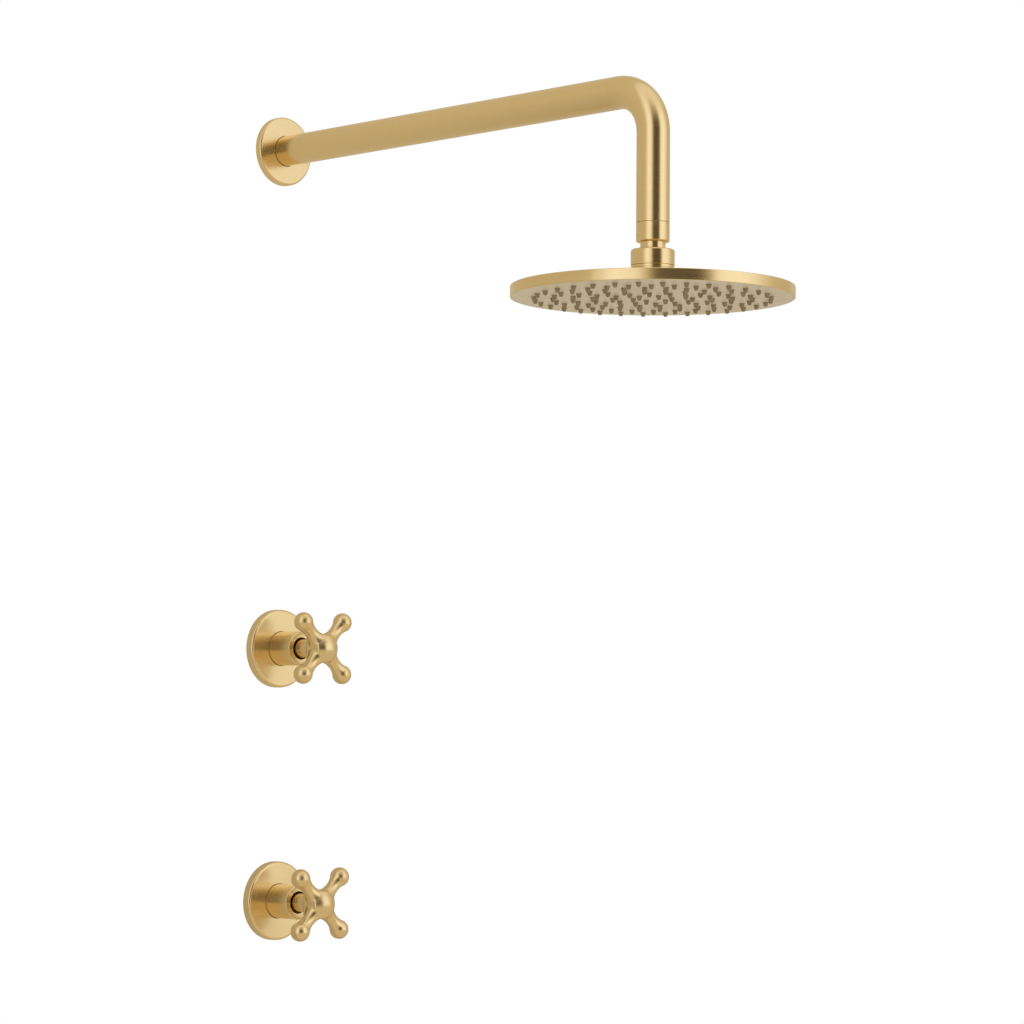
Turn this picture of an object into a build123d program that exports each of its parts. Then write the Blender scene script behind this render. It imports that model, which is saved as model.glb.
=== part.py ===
from build123d import *
import math
import os

"""Concealed rainfall shower set in brass: bent wall arm, thin round rain head on a ball joint, quarter-turn volume
valve and thermostatic mixer with cross handles, and the in-wall pipework that joins them.

Frame, in millimetres: +Z up, the room on the -Y side. The origin is the centre of the drop elbow's back face, on
the arm's axis, so the fixing plane is y = 0 and the finished wall is WALL_DEPTH in front of it. Pieces that turn
about the arm's or a valve's axis are drawn as (radius, distance in front of the finished wall).
"""

# ---- driving dimensions, mm -----------------------------------------------------------------------------------
WALL_DEPTH = 65.0  # fixing plane to finished wall
REACH = 400.0  # finished wall to the axis of the drop
DROP = 152.0  # arm axis down to the spray face
VOLUME_Z = -400.0  # arm axis to the upper valve's axis
MIXER_Z = -600.0  # arm axis to the lower valve's axis

TUBE_R = 12.0
BEND_R = 33.0  # on the tube's centre line
TUBE_END_Z = -98.0  # lower end of the tube
THREAD_R = 10.48  # half inch pipe thread, and the bore of the tube
WATERWAY_R = 7.0

HEAD_R = 101.6
HEAD_THICK = 8.0
SHEET = 1.5  # top shell
RIM_WALL = 1.0
PLATE = 1.2  # perforated face plate
MAT = 1.2  # silicone mat on the plate
NOZZLE_RINGS = ((14.0, 6), (28.5, 12), (42.5, 18), (57.0, 24), (71.0, 28), (84.5, 32))  # radius, count
RING_TWIST = 7.0  # degrees that each ring of nozzles is turned on from the one inside it
NOZZLE_BASE_R = 2.1
NOZZLE_TIP_R = 1.4
NOZZLE_BORE_R = 0.5
NOZZLE_STANDS = 3.0  # below the face plate
NOZZLE_HOLE_R = 2.25

BALL_R = 12.0
BALL_Z = -127.0
BALL_GAP = 0.15  # between the ball, its rings and their pocket
SLIP_RING_R = 12.85  # outside of the ring above the ball
POCKET_R = 13.0
COLLAR_R = 15.7
COLLAR_TOP = -117.3
COLLAR_BOTTOM = -128.9
COLLAR_MOUTH_R = 11.5
BOSS_THREAD_R = 14.4
BOSS_R = 15.2
NECK_R = 9.0
NECK_END = -116.6
STEM_R = 7.5
CONNECTOR_BOTTOM = -112.0
FLAT_AT = 11.3  # spanner flats, from the axis
FLAT_TOP = -107.6
FLAT_TALL = 5.0
FLAT_TURN = -17.0  # degrees about the drop axis, as the thread happened to tighten

ARM_FLANGE_R = 27.5
ARM_FLANGE_THICK = 6.0
VALVE_FLANGE_R = 31.0
VALVE_FLANGE_THICK = 7.5
FLANGE_ROUND = 1.6
FLANGE_LIP = 2.5  # wall of the rim that meets the tiles

SLEEVE_R = 13.5
SLEEVE_BORE_R = 11.5
SLEEVE_MOUTH_R = 8.7
SLEEVE_FRONT = 31.5  # in front of the wall
SHANK_R = 7.3
HUB_BACK = 48.0
HUB_FRONT = 66.5
HUB_HALF = 10.2  # hub centre to each flat
HUB_BALL_R = 14.5  # the hub is a ball with four flats and a flat back
ARM_PLANE = 56.0  # centre plane of the four arms
ARM_CENTRE_R = 29.0  # axis to each bulb's centre
BULB_R = 7.6
BULB_JOIN = 4.5  # from a bulb's centre back to where its neck starts
ARM_WAIST = (17.5, 4.9)  # distance from the axis, radius
ARM_ROOT = (9.0, 7.2)
SPINDLE_TAIL_R = 4.0

PIPE_Y = -25.0
PIPE_R = 7.5
PIPE_BORE_R = 6.8
SOCKET_R = 7.55
SOCKET_DEPTH = 12.0
STUB_THREAD_R = 10.5
STUB_R = 11.5
NUT_FLATS = 24.0
ELBOW_END_Z = -34.0
VALVE_STUB = 36.0  # valve axis to the end of a pipe stub
BODY_FRONT = -44.0  # y of the cast bodies' front faces
CHAMBER_R = 11.9
CAGE_R = 9.5  # bore of the cartridge round discs or shuttle
BEARING_R = 6.05
SPINDLE_R = 6.0
FIXING_R = 2.75
EAR_SPACING = 42.0
PLATE_HOLES = (40.0, 48.0)  # across, up
INLET_HALF = 46.0  # valve axis to an inlet's mouth
INLET_THREAD = 14.0

HEAD_TOP = HEAD_THICK - DROP
SPRAY_FACE = -DROP
DROP_Y = -(WALL_DEPTH + REACH)


def out(distance):
    """y of a point this far in front of the finished wall."""
    return -(WALL_DEPTH + distance)


def turned_y(points, z=0.0):
    """A solid turned about the line through (0, z) along Y, from (radius, y) points."""
    outline = make_face(Polyline(*[(r, y, 0) for r, y in points], close=True))
    return Pos(0, 0, z) * revolve(outline, axis=Axis.Y)


def turned_out(points, z=0.0):
    """The same from (radius, distance in front of the finished wall) points."""
    return turned_y([(r, out(d)) for r, d in points], z)


def turned_z(points, y=DROP_Y):
    """A solid turned about the vertical line at (0, y), from (radius, z) points."""
    outline = make_face(Polyline(*[(r, 0, z) for r, z in points], close=True))
    return Pos(0, y, 0) * revolve(outline, axis=Axis.Z)


def rod_x(radius, x0, x1, y, z):
    return Pos((x0 + x1) / 2, y, z) * Rot(0, 90, 0) * Cylinder(radius, abs(x1 - x0))


def rod_y(radius, y0, y1, x=0.0, z=0.0):
    return Pos(x, (y0 + y1) / 2, z) * Rot(90, 0, 0) * Cylinder(radius, abs(y1 - y0))


def rod_z(radius, z0, z1, y=PIPE_Y, x=0.0):
    return Pos(x, y, (z0 + z1) / 2) * Cylinder(radius, abs(z1 - z0))


def ring_y(inner, outer, y0, y1, z=0.0):
    return turned_y([(inner, y0), (outer, y0), (outer, y1), (inner, y1)], z)


def ring_z(inner, outer, z0, z1, y=DROP_Y):
    return turned_z([(inner, z0), (outer, z0), (outer, z1), (inner, z1)], y)


def save(name, *solids):
    shape = solids[0] if len(solids) == 1 else Compound(children=list(solids))
    export_step(shape, f"parts/{name}.step")


# ---- arm ------------------------------------------------------------------------------------------------------
def swept_round(path, radius):
    return sweep(Plane(origin=path @ 0, z_dir=path % 0) * Circle(radius), path=path)


def arm_tube():
    wall_end = out(-16)
    path = FilletPolyline((0, wall_end, 0), (0, DROP_Y, 0), (0, DROP_Y, TUBE_END_Z), radius=BEND_R)
    return swept_round(path, TUBE_R) - swept_round(path, THREAD_R)


def arm_inlet_nipple():
    return ring_y(WATERWAY_R, THREAD_R, -32, out(-2))


def arm_outlet_nipple():
    return ring_z(WATERWAY_R, THREAD_R, TUBE_END_Z + 14, TUBE_END_Z - 9)


def wall_flange(radius, thick, bore, z):
    """A turned cover plate: rim against the wall, hollow back, and a hub with a groove for an O-ring."""
    hub, roof, rim = bore + 3, thick - 2, radius - FLANGE_LIP
    return turned_out(
        [
            (bore, 0.6),
            (hub, 0.6),
            (hub, roof),
            (rim, roof),
            (rim, 0),
            (radius, 0),
            (radius, thick - FLANGE_ROUND),
            (radius - FLANGE_ROUND, thick),
            (bore, thick),
            (bore, 3.6),
            (bore + 1.2, 3.6),
            (bore + 1.2, 1.6),
            (bore, 1.6),
        ],
        z,
    )


def flange_gasket(radius, thick, z):
    rim = radius - FLANGE_LIP
    return turned_out([(rim - 6, 0), (rim, 0), (rim, thick - 2), (rim - 6, thick - 2)], z)


def flange_oring(inner, bore, z):
    return turned_out([(inner, 1.7), (bore + 1.2, 1.7), (bore + 1.2, 3.5), (inner, 3.5)], z)


# ---- in-wall pipework -----------------------------------------------------------------------------------------
def stub_bore(end, way, depth=SOCKET_DEPTH):
    """The socket that a pipe slides into; way is +1 where the pipe leaves upwards."""
    return rod_z(SOCKET_R, end, end - way * depth)


def drop_ear_elbow():
    ears = Pos(0, -2.5, 0) * Box(58, 5, 24)
    ears = fillet(ears.edges().filter_by(Axis.Y), 9)
    body = ears + rod_y(14, 0, -46)
    body += rod_z(STUB_R, 0, ELBOW_END_Z + 10)
    body += rod_z(STUB_THREAD_R, 0, ELBOW_END_Z)
    body -= rod_y(THREAD_R, -46, -31)
    body -= rod_y(WATERWAY_R, -46, PIPE_Y + 4)
    body -= rod_z(PIPE_BORE_R, 0, ELBOW_END_Z)
    body -= stub_bore(ELBOW_END_Z, -1)
    for x in (-EAR_SPACING / 2, EAR_SPACING / 2):
        body -= rod_y(FIXING_R, 1, -6, x)
    return body


def pipe(low, high):
    """Copper pipe between two fitting ends, pushed 11 mm into each."""
    return ring_z(PIPE_BORE_R, PIPE_R, low - 11, high + 11, PIPE_Y)


PIPE_ENDS = (  # fitting end, and +1 where the pipe leaves upwards
    (ELBOW_END_Z, -1),
    (VOLUME_Z + VALVE_STUB, 1),
    (VOLUME_Z - VALVE_STUB, -1),
    (MIXER_Z + VALVE_STUB, 1),
)


def compression_nut(end, way):
    hexagon = RegularPolygon(radius=NUT_FLATS / 2 / math.cos(math.pi / 6), side_count=6)
    nut = Pos(0, PIPE_Y, end - way * 2) * extrude(hexagon, amount=7, both=True)
    nut -= rod_z(STUB_THREAD_R, end - way * 9, end + way * 3.4)
    return nut - rod_z(PIPE_R + 0.1, end, end + way * 6)


def compression_olive(end, way):
    rings = [(PIPE_R, 0), (9.0, 0.8), (9.0, 2.4), (PIPE_R, 3.2)]
    return turned_z([(r, end + way * step) for r, step in rings], PIPE_Y)


# ---- cast valve bodies ----------------------------------------------------------------------------------------
def fixing_plate(z):
    plate = Pos(0, -2.5, z) * Box(54, 5, 62)
    plate = fillet(plate.edges().filter_by(Axis.Y), 7)
    across, up = PLATE_HOLES
    for x in (-across / 2, across / 2):
        for dz in (-up / 2, up / 2):
            plate -= rod_y(FIXING_R, 1, -6, x, z + dz)
    return plate


def pipe_stub(z, way):
    end = z + way * VALVE_STUB
    return rod_z(STUB_R, z, end - way * 10) + rod_z(STUB_THREAD_R, z, end)


def volume_valve_body():
    """Water comes up from below, behind the discs, through them, and leaves upwards from the chamber."""
    z = VOLUME_Z
    body = fixing_plate(z) + rod_y(17, 0, BODY_FRONT, 0, z)
    body += pipe_stub(z, 1) + pipe_stub(z, -1)
    body += Pos(0, -14, z - 18) * Box(20, 28, 12)
    body -= rod_y(CHAMBER_R, -14, BODY_FRONT, 0, z)
    body -= stub_bore(z + VALVE_STUB, 1) + rod_z(6, z + VALVE_STUB, z)
    body -= stub_bore(z - VALVE_STUB, -1) + rod_z(6, z - VALVE_STUB, z - 15)
    body -= rod_y(4, PIPE_Y, -7, 0, z - 19)
    body -= rod_z(4, z - 19, z, -7)
    return body - rod_y(5, -7, -14, 0, z)


def mixer_valve_body():
    """Hot comes in on the left, cold on the right, and mixed water leaves upwards."""
    z = MIXER_Z
    body = fixing_plate(z) + rod_y(17, 0, BODY_FRONT, 0, z)
    body += pipe_stub(z, 1) + rod_x(14, -INLET_HALF, INLET_HALF, PIPE_Y, z)
    body -= rod_y(CHAMBER_R, -12, BODY_FRONT, 0, z)
    body -= stub_bore(z + VALVE_STUB, 1) + rod_z(6, z + VALVE_STUB, z)
    body -= rod_x(6, -INLET_HALF, INLET_HALF, PIPE_Y, z)
    for side in (-1, 1):
        mouth, floor = side * INLET_HALF, side * (INLET_HALF - INLET_THREAD)
        body -= rod_x(THREAD_R, mouth, floor, PIPE_Y, z)
        body -= rod_x(9, floor, floor - side * 2, PIPE_Y, z)
    return body


def mixer_strainer(side):
    """A perforated disc on the shoulder under each inlet's thread."""
    floor = side * (INLET_HALF - INLET_THREAD)
    disc = rod_x(9, floor, floor - side * 2, PIPE_Y, MIXER_Z)
    for ring, count in ((0, 1), (3.1, 6), (6.2, 12)):
        for step in range(count):
            turn = 2 * math.pi * step / count
            y, z = PIPE_Y + ring * math.cos(turn), MIXER_Z + ring * math.sin(turn)
            disc -= rod_x(1.0, floor + side, floor - side * 3, y, z)
    return disc


# ---- cartridges -----------------------------------------------------------------------------------------------
def cartridge_housing(z, floor, cage_end, windows):
    """The brass barrel screwed into a body: a cage at the back, a hexagon, and the spindle's bearing in front."""
    barrel = turned_y(
        [
            (CAGE_R, floor),
            (CHAMBER_R, floor),
            (CHAMBER_R, BODY_FRONT),
            (SLEEVE_BORE_R, BODY_FRONT),
            (SLEEVE_BORE_R, out(6)),
            (BEARING_R, out(6)),
            (BEARING_R, cage_end),
            (CAGE_R, cage_end),
        ],
        z,
    )
    hexagon = RegularPolygon(radius=15.5, side_count=6)
    barrel += Pos(0, BODY_FRONT, z) * Rot(90, 0, 0) * extrude(hexagon, amount=5)
    barrel -= rod_y(BEARING_R, BODY_FRONT, out(6), 0, z)
    for x, y, dz, radius in windows:
        if x:
            barrel -= rod_x(radius, x * 8, x * 13, y, z + dz)
        else:
            barrel -= rod_z(radius, z + dz * 8, z + dz * 13, y)
    return barrel


def volume_cartridge_housing():
    return cartridge_housing(VOLUME_Z, -14, -31, [(0, -27, 1, 3.2)])


def mixer_cartridge_housing():
    return cartridge_housing(MIXER_Z, -12, -37, [(-1, -31, 0, 2.2), (1, -21, 0, 2.2), (0, -21, 1, 2.2)])


def volume_disc_seal():
    return ring_y(5.5, 9.4, -14, -15.5, VOLUME_Z)


def ceramic_disc(y0, ports):
    disc = rod_y(9.3, y0, y0 - 3, 0, VOLUME_Z)
    for x, dz in ports:
        disc -= rod_y(2.4, y0 + 1, y0 - 4, x, VOLUME_Z + dz)
    return disc


def volume_fixed_disc():
    return ceramic_disc(-15.5, [(-5.2, 0), (5.2, 0)])


def volume_moving_disc():
    """Closed at rest: its ports are a quarter turn away from the fixed disc's."""
    disc = ceramic_disc(-18.55, [(0, -5.2), (0, 5.2)])
    return disc - Pos(0, -20.8, VOLUME_Z) * Box(14.2, 1.5, 4.2)


GROOVES = (-41.0, -47.0)  # y of the spindles' O-ring grooves


def spindle(z, shoulder):
    """The bearing length, its two grooves, and the thin tail that carries the handle."""
    shaft = rod_y(SPINDLE_R, shoulder, out(4), 0, z) + rod_y(SPINDLE_TAIL_R, out(4), out(58), 0, z)
    for groove in GROOVES:
        shaft -= ring_y(4.6, SPINDLE_R + 1, groove + 1.1, groove - 1.1, z)
    return shaft


def volume_spindle():
    foot = Pos(0, -21.8, VOLUME_Z) * Box(14, 3.4, 4)
    return spindle(VOLUME_Z, -31.05) + rod_y(4.5, -23.5, -31.05, 0, VOLUME_Z) + foot


def mixer_spindle():
    """Its nose turns in the shuttle's hub."""
    return spindle(MIXER_Z, -38) + rod_y(3.5, -28, -38, 0, MIXER_Z)


def spindle_orings(z):
    return [ring_y(4.6, SPINDLE_R, groove + 1, groove - 1, z) for groove in GROOVES]


def mixer_shuttle():
    shuttle = turned_y([(0, -23), (9.4, -23), (9.4, -29), (5.5, -29), (5.5, -34), (0, -34)], MIXER_Z)
    shuttle -= rod_y(3.6, -25, -34, 0, MIXER_Z)
    for step in range(6):
        turn = math.pi * step / 3
        shuttle -= rod_y(1.2, -22, -30, 7.4 * math.cos(turn), MIXER_Z + 7.4 * math.sin(turn))
    return shuttle


def mixer_wax_element():
    return turned_y([(0, -23), (4.5, -23), (4.5, -16), (2, -15), (2, -13), (0, -13)], MIXER_Z)


def mixer_return_spring():
    coil = Helix(pitch=2.9, height=9.4, radius=7.2)
    wire = sweep(Plane(origin=coil @ 0, z_dir=coil % 0) * Circle(0.7), path=coil)
    return Pos(0, -12.8, MIXER_Z) * Rot(90, 0, 0) * wire


# ---- valve trim and handles -----------------------------------------------------------------------------------
def sleeve(z):
    """Open-ended bonnet tube, screwed on the cartridge, with a turned-in lip at the front."""
    lip = SLEEVE_FRONT - 2.5
    return turned_out(
        [
            (SLEEVE_BORE_R, -14),
            (SLEEVE_R, -14),
            (SLEEVE_R, SLEEVE_FRONT - 0.8),
            (SLEEVE_R - 0.8, SLEEVE_FRONT),
            (SLEEVE_MOUTH_R, SLEEVE_FRONT),
            (SLEEVE_MOUTH_R, lip),
            (SLEEVE_BORE_R, lip),
        ],
        z,
    )


def handle_bar():
    """A pair of opposite arms along X at the origin: bulb, waist, root and back again, turned."""
    tip = ARM_CENTRE_R + BULB_R
    join_x, join_r = ARM_CENTRE_R - BULB_JOIN, math.sqrt(BULB_R**2 - BULB_JOIN**2)
    (waist_x, waist_r), (root_x, root_r) = ARM_WAIST, ARM_ROOT
    edges = []
    for side in (1, -1):
        edges.append(ThreePointArc((side * tip, 0), (side * ARM_CENTRE_R, BULB_R), (side * join_x, join_r)))
        edges.append(ThreePointArc((side * join_x, join_r), (side * waist_x, waist_r), (side * root_x, root_r)))
    edges.append(Line((root_x, root_r), (-root_x, root_r)))
    edges.append(Line((-tip, 0), (tip, 0)))
    return revolve(make_face(edges), axis=Axis.X)


def cross_handle(z):
    """Ball hub with four flats, a flat back and a shank, and an arm at each corner."""
    hub = Pos(0, out((HUB_BACK + HUB_FRONT) / 2), z) * Box(2 * HUB_HALF, HUB_FRONT - HUB_BACK, 2 * HUB_HALF)
    hub &= Pos(0, out(HUB_FRONT - HUB_BALL_R), z) * Sphere(HUB_BALL_R)
    handle = hub + rod_y(SHANK_R, out(28), out(HUB_BACK + 1), 0, z)
    for lean in (45, -45):
        handle += Pos(0, out(ARM_PLANE), z) * Rot(0, lean, 0) * handle_bar()
    handle -= rod_y(SPINDLE_TAIL_R, out(28), out(58), 0, z)
    return handle - rod_z(2, z - 9, z - 3, out(40))


def handle_screw(z):
    """Hexagon-socket grub screw under the shank, tight on the spindle."""
    screw = rod_z(2, z - 7.1, z - SPINDLE_TAIL_R, out(40))
    hexagon = Pos(0, out(40), z - 7.1) * RegularPolygon(radius=1.15, side_count=6)
    return screw - extrude(hexagon, amount=1.8)


# ---- ball joint -----------------------------------------------------------------------------------------------
def ball_arc(radius, low, high, steps=10):
    """(radius, z) points on a sphere round the ball's centre, from one height to the other."""
    heights = [low + (high - low) * step / steps for step in range(steps + 1)]
    return [(math.sqrt(radius**2 - height**2), BALL_Z + height) for height in heights]


def swivel_ball_connector():
    socket = TUBE_END_Z - 10
    body = turned_z(
        [
            (0, TUBE_END_Z),
            (TUBE_R, TUBE_END_Z),
            (TUBE_R, CONNECTOR_BOTTOM + 1.2),
            (TUBE_R - 1.2, CONNECTOR_BOTTOM),
            (NECK_R, CONNECTOR_BOTTOM),
            (NECK_R, NECK_END),
            (STEM_R, NECK_END - 1),
            (STEM_R, BALL_Z),
            (0, BALL_Z),
        ]
    )
    body += Pos(0, DROP_Y, BALL_Z) * Sphere(BALL_R)
    for side in (-1, 1):
        cutter = Pos(side * (FLAT_AT + 2), 0, FLAT_TOP - FLAT_TALL / 2) * Box(4, 3 * TUBE_R, FLAT_TALL)
        body -= Pos(0, DROP_Y, 0) * Rot(0, 0, FLAT_TURN) * cutter
    body -= rod_z(THREAD_R, TUBE_END_Z, socket, DROP_Y)
    body -= rod_z(6, socket, socket - 5, DROP_Y)
    return body - rod_z(5, socket, BALL_Z - BALL_R, DROP_Y)


def connector_washer():
    return ring_z(5.5, 10.4, TUBE_END_Z - 9, TUBE_END_Z - 10)


def flow_limiter():
    return turned_z([(2, -108), (6, -108), (6, -113), (4.5, -113), (4.5, -110), (2, -110)])


def spherical_shell(inner, outer):
    place = Pos(0, DROP_Y, BALL_Z)
    return place * Sphere(outer) - place * Sphere(inner)


def ball_slip_ring():
    """Zone of a spherical shell above the ball's equator, free to tip in its pocket."""
    zone = spherical_shell(BALL_R + BALL_GAP, SLIP_RING_R)
    low, high = BALL_Z + 3.6, BALL_Z + 7.9
    return zone & rod_z(20, low, high, DROP_Y)


def ball_seal():
    """Cup seal under the ball: spherical inside, round outside."""
    cup = ring_z(6.5, POCKET_R - 0.1, BALL_Z - 3, BALL_Z - 11.4)
    return cup - Pos(0, DROP_Y, BALL_Z) * Sphere(BALL_R + BALL_GAP)


def collar_nut():
    blank = turned_z(
        [
            (COLLAR_MOUTH_R, COLLAR_TOP),
            (COLLAR_R - 1.2, COLLAR_TOP),
            (COLLAR_R, COLLAR_TOP - 1.2),
            (COLLAR_R, COLLAR_BOTTOM),
            (BOSS_THREAD_R, COLLAR_BOTTOM),
            (BOSS_THREAD_R, BALL_Z + 3.5),
            (COLLAR_MOUTH_R, BALL_Z + 3.5),
        ]
    )
    return blank - Pos(0, DROP_Y, BALL_Z) * Sphere(POCKET_R)


def collar_ring():
    return ring_z(BOSS_THREAD_R, COLLAR_R - 0.3, COLLAR_BOTTOM, COLLAR_BOTTOM - 2.1)


# ---- rain head ------------------------------------------------------------------------------------------------
def nozzle_places():
    for index, (radius, count) in enumerate(NOZZLE_RINGS):
        for step in range(count):
            turn = math.radians(360 * step / count + RING_TWIST * index)
            yield radius * math.cos(turn), DROP_Y + radius * math.sin(turn)


def head_shell():
    """Top plate, rim and boss in one, with the ball's pocket inside the boss."""
    floor = BALL_Z - 11.6
    boss_top = BALL_Z + 3.5
    shell = turned_z(
        [
            (6, HEAD_TOP - SHEET),
            (HEAD_R - RIM_WALL, HEAD_TOP - SHEET),
            (HEAD_R - RIM_WALL, SPRAY_FACE),
            (HEAD_R, SPRAY_FACE),
            (HEAD_R, HEAD_TOP - 0.6),
            (HEAD_R - 0.6, HEAD_TOP),
            (BOSS_R, HEAD_TOP),
            (BOSS_R, COLLAR_BOTTOM - 2.1),
            (BOSS_THREAD_R, COLLAR_BOTTOM - 2.1),
            (BOSS_THREAD_R, boss_top),
            (POCKET_R, boss_top),
            (POCKET_R, floor),
            (6, floor),
        ]
    )
    return shell


def face_plate():
    plate = rod_z(HEAD_R - RIM_WALL, SPRAY_FACE, SPRAY_FACE + PLATE, DROP_Y)
    holes = [Pos(x, y, SPRAY_FACE) * Cylinder(NOZZLE_HOLE_R, 4 * PLATE) for x, y in nozzle_places()]
    return plate - holes


def nozzle():
    """One hollow nozzle, its tip down, with z = 0 on the mat's top."""
    plate_face = -(MAT + PLATE)
    outline = [
        (NOZZLE_BORE_R, -MAT / 2),
        (NOZZLE_BASE_R, -MAT / 2),
        (NOZZLE_BASE_R, plate_face),
        (NOZZLE_TIP_R, plate_face - NOZZLE_STANDS),
        (NOZZLE_BORE_R, plate_face - NOZZLE_STANDS),
    ]
    return turned_z(outline, 0)


def nozzle_mat():
    top = SPRAY_FACE + PLATE + MAT
    mat = rod_z(HEAD_R - 3, top, top - MAT, DROP_Y)
    places = list(nozzle_places())
    mat -= [Pos(x, y, top) * Cylinder(NOZZLE_BORE_R, 4 * MAT) for x, y in places]
    one = nozzle()
    return mat + [Pos(x, y, top) * one for x, y in places]


# ---- write every node -----------------------------------------------------------------------------------------
os.makedirs("parts", exist_ok=True)

save("arm_tube", arm_tube())
save("arm_inlet_nipple", arm_inlet_nipple())
save("arm_outlet_nipple", arm_outlet_nipple())
save("arm_wall_flange", wall_flange(ARM_FLANGE_R, ARM_FLANGE_THICK, TUBE_R + 0.25, 0))
save("arm_flange_gasket", flange_gasket(ARM_FLANGE_R, ARM_FLANGE_THICK, 0))
save("drop_ear_elbow", drop_ear_elbow())
save("riser_pipe", pipe(VOLUME_Z + VALVE_STUB, ELBOW_END_Z))
save("link_pipe", pipe(MIXER_Z + VALVE_STUB, VOLUME_Z - VALVE_STUB))
save("compression_nuts", *[compression_nut(end, way) for end, way in PIPE_ENDS])
save("compression_olives", *[compression_olive(end, way) for end, way in PIPE_ENDS])

save("volume_valve_body", volume_valve_body())
save("volume_cartridge_housing", volume_cartridge_housing())
save("volume_disc_seal", volume_disc_seal())
save("volume_fixed_disc", volume_fixed_disc())
save("volume_moving_disc", volume_moving_disc())
save("volume_spindle", volume_spindle())

save("mixer_valve_body", mixer_valve_body())
save("mixer_strainers", mixer_strainer(-1), mixer_strainer(1))
save("mixer_cartridge_housing", mixer_cartridge_housing())
save("mixer_shuttle", mixer_shuttle())
save("mixer_wax_element", mixer_wax_element())
save("mixer_return_spring", mixer_return_spring())
save("mixer_spindle", mixer_spindle())

for valve, axis_z in (("volume", VOLUME_Z), ("mixer", MIXER_Z)):
    save(f"{valve}_flange", wall_flange(VALVE_FLANGE_R, VALVE_FLANGE_THICK, SLEEVE_R + 0.25, axis_z))
    save(f"{valve}_flange_gasket", flange_gasket(VALVE_FLANGE_R, VALVE_FLANGE_THICK, axis_z))
    save(f"{valve}_sleeve", sleeve(axis_z))
    save(f"{valve}_handle", cross_handle(axis_z))
    save(f"{valve}_handle_screw", handle_screw(axis_z))
    save(f"{valve}_spindle_orings", *spindle_orings(axis_z))

save(
    "flange_orings",
    flange_oring(TUBE_R, TUBE_R + 0.25, 0),
    flange_oring(SLEEVE_R, SLEEVE_R + 0.25, VOLUME_Z),
    flange_oring(SLEEVE_R, SLEEVE_R + 0.25, MIXER_Z),
)

save("swivel_ball_connector", swivel_ball_connector())
save("connector_washer", connector_washer())
save("flow_limiter", flow_limiter())
save("ball_slip_ring", ball_slip_ring())
save("ball_seal", ball_seal())
save("collar_nut", collar_nut())
save("collar_ring", collar_ring())
save("head_shell", head_shell())
save("face_plate", face_plate())
save("nozzle_mat", nozzle_mat())
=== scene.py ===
# %% [markdown]
# # A concealed rainfall shower in brushed brass
#
# This notebook dresses a finished CAD model. The model is a bent wall arm with a thin round rain head on
# a ball joint, and under it two valves with cross handles. What lies behind the tiles is modelled too:
# cast valve bodies, pipes, cartridges and seals. The hard work here is the finish: satin brass lives from
# what it reflects, so the studio comes first, then the metals, and then the pieces that are seen from the
# room are modelled again with soft edges that catch the light.

# %% Load the frame
import bpy
import bmesh
import math
from mathutils import Matrix, Vector


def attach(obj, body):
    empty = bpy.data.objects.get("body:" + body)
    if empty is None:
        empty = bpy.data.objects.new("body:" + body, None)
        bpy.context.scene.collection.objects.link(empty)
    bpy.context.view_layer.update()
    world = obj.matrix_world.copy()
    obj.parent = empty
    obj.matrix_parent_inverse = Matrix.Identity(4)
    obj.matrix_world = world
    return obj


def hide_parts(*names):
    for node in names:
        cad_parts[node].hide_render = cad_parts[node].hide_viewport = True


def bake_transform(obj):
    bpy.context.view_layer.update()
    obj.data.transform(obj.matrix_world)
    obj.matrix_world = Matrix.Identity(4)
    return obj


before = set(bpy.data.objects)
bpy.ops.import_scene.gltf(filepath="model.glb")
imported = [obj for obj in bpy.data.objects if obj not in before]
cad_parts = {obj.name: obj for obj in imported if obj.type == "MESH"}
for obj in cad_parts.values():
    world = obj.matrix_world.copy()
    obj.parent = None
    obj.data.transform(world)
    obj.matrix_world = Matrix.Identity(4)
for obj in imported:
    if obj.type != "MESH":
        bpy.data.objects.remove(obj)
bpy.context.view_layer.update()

# %% [markdown]
# ## Sizes
#
# The frame has its origin on the back of the elbow that holds the arm, with Z up and the room on the -Y
# side. The tiles' face is 65 mm in front of that. Fitters measure trim from the tiles, so one small
# function turns "so far in front of the wall" into a place along Y. Everything is written in millimetres
# and scaled once.

# %% Places
MM = 0.001
WALL = 65.0
DROP_Y = -465.0
ARM_Z = 0.0
VOLUME_Z = -400.0
MIXER_Z = -600.0


def out(distance):
    """Y in mm of a place this far in front of the tiles."""
    return -(WALL + distance)


print("wall at", out(0), "mm, drop at", DROP_Y, "mm")

# %% [markdown]
# ## The camera
#
# The object is seen from low on the left, from a good two and a half metres away, with a long lens, so
# that upright lines stay nearly parallel. The camera is turned in three steps, like a tripod head: pan
# about Z, tilt, and a last small roll about the line of sight.

# %% Camera
EYE = Vector((-1.6157, -1.8956, -0.4301))
PAN, TILT, ROLL = -45.85, 3.312, 0.435
LENS_MM = 107.02

camera = bpy.data.objects.new("camera", bpy.data.cameras.new("camera"))
bpy.context.scene.collection.objects.link(camera)
camera.data.lens = LENS_MM
camera.data.sensor_width = 36.0
turn = Matrix.Rotation(math.radians(PAN), 4, "Z") @ Matrix.Rotation(math.radians(90 + TILT), 4, "X")
camera.matrix_world = Matrix.Translation(EYE) @ turn @ Matrix.Rotation(math.radians(ROLL), 4, "Z")
bpy.context.scene.camera = camera
bpy.context.scene.view_settings.view_transform = "Standard"
print("camera to drop:", round((EYE - Vector((0, DROP_Y * MM, 0))).length, 3), "m")

# %% [markdown]
# ## Colours and nodes
#
# Colours are written as the sRGB hex values that a paint shop would use. Shaders want linear light, so
# one function does that step for all of them. A second function adds a shader node with its settings and
# its links, and keeps the recipes below short enough to read.


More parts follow.
